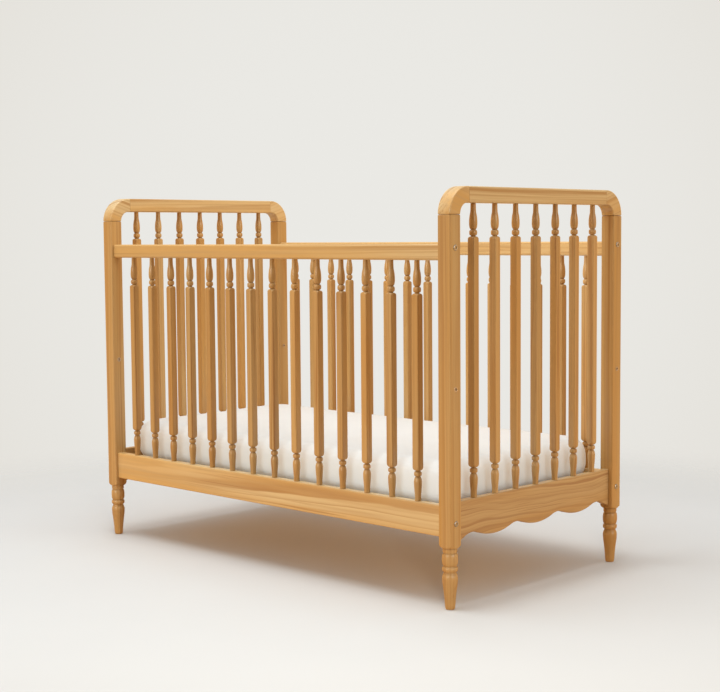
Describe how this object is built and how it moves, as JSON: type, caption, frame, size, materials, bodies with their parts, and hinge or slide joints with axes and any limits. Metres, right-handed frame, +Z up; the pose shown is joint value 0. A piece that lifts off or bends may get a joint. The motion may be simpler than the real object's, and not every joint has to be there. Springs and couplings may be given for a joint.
{
  "type": "baby crib",
  "caption": "Baby crib in honey pine with turned spindles on all sides, round-cornered ends, scalloped end aprons, turned feet, a slatted base and a mattress.",
  "frame": {"origin": "on the floor, under the middle of the crib", "axes": "+X along the long sides to the right when facing the front side, +Y from the front side to the back side, +Z up"},
  "size_m": [1.274, 0.674, 0.952],
  "materials": {
    "pine_posts": "satin clear lacquer on honey pine, grain upright",
    "pine_rails": "satin clear lacquer on honey pine, grain along the rail",
    "pine_aprons": "satin clear lacquer on honey pine, grain level",
    "pine_spindles": "satin clear lacquer on honey pine, grain upright",
    "bare_pine": "bare planed pine",
    "white_cotton": "woven white cotton fitted sheet",
    "steel": "zinc-plated steel bolt heads and sleeves"
  },
  "bodies": {
    "frame": {"front_left_post": "pine_posts", "front_right_post": "pine_posts", "back_left_post": "pine_posts", "back_right_post": "pine_posts", "left_arch": "pine_rails", "right_arch": "pine_rails", "left_apron": "pine_aprons", "right_apron": "pine_aprons", "front_top_rail": "pine_rails", "front_bottom_rail": "pine_rails", "front_batten": "bare_pine", "back_top_rail": "pine_rails", "back_bottom_rail": "pine_rails", "back_batten": "bare_pine", "front_spindle_01": "pine_spindles", "front_spindle_02": "pine_spindles", "front_spindle_03": "pine_spindles", "front_spindle_04": "pine_spindles", "front_spindle_05": "pine_spindles", "front_spindle_06": "pine_spindles", "front_spindle_07": "pine_spindles", "front_spindle_08": "pine_spindles", "front_spindle_09": "pine_spindles", "front_spindle_10": "pine_spindles", "front_spindle_11": "pine_spindles", "front_spindle_12": "pine_spindles", "front_spindle_13": "pine_spindles", "front_spindle_14": "pine_spindles", "back_spindle_01": "pine_spindles", "back_spindle_02": "pine_spindles", "back_spindle_03": "pine_spindles", "back_spindle_04": "pine_spindles", "back_spindle_05": "pine_spindles", "back_spindle_06": "pine_spindles", "back_spindle_07": "pine_spindles", "back_spindle_08": "pine_spindles", "back_spindle_09": "pine_spindles", "back_spindle_10": "pine_spindles", "back_spindle_11": "pine_spindles", "back_spindle_12": "pine_spindles", "back_spindle_13": "pine_spindles", "back_spindle_14": "pine_spindles", "back_spindle_15": "pine_spindles", "left_spindle_01": "pine_spindles", "left_spindle_02": "pine_spindles", "left_spindle_03": "pine_spindles", "left_spindle_04": "pine_spindles", "left_spindle_05": "pine_spindles", "left_spindle_06": "pine_spindles", "left_spindle_07": "pine_spindles", "right_spindle_01": "pine_spindles", "right_spindle_02": "pine_spindles", "right_spindle_03": "pine_spindles", "right_spindle_04": "pine_spindles", "right_spindle_05": "pine_spindles", "right_spindle_06": "pine_spindles", "right_spindle_07": "pine_spindles"},
    "base": {"mattress_base": "bare_pine"},
    "mattress": {"mattress": "white_cotton"}
  },
  "joints": [
    {"name": "base_height", "type": "slide", "parent": "frame", "child": "base", "axis": [0, 0, 1], "range_m": [0, 0.3]},
    {"name": "mattress_lift", "type": "slide", "parent": "base", "child": "mattress", "axis": [0, 0, 1], "range_m": [0, 0.75]}
  ]
}
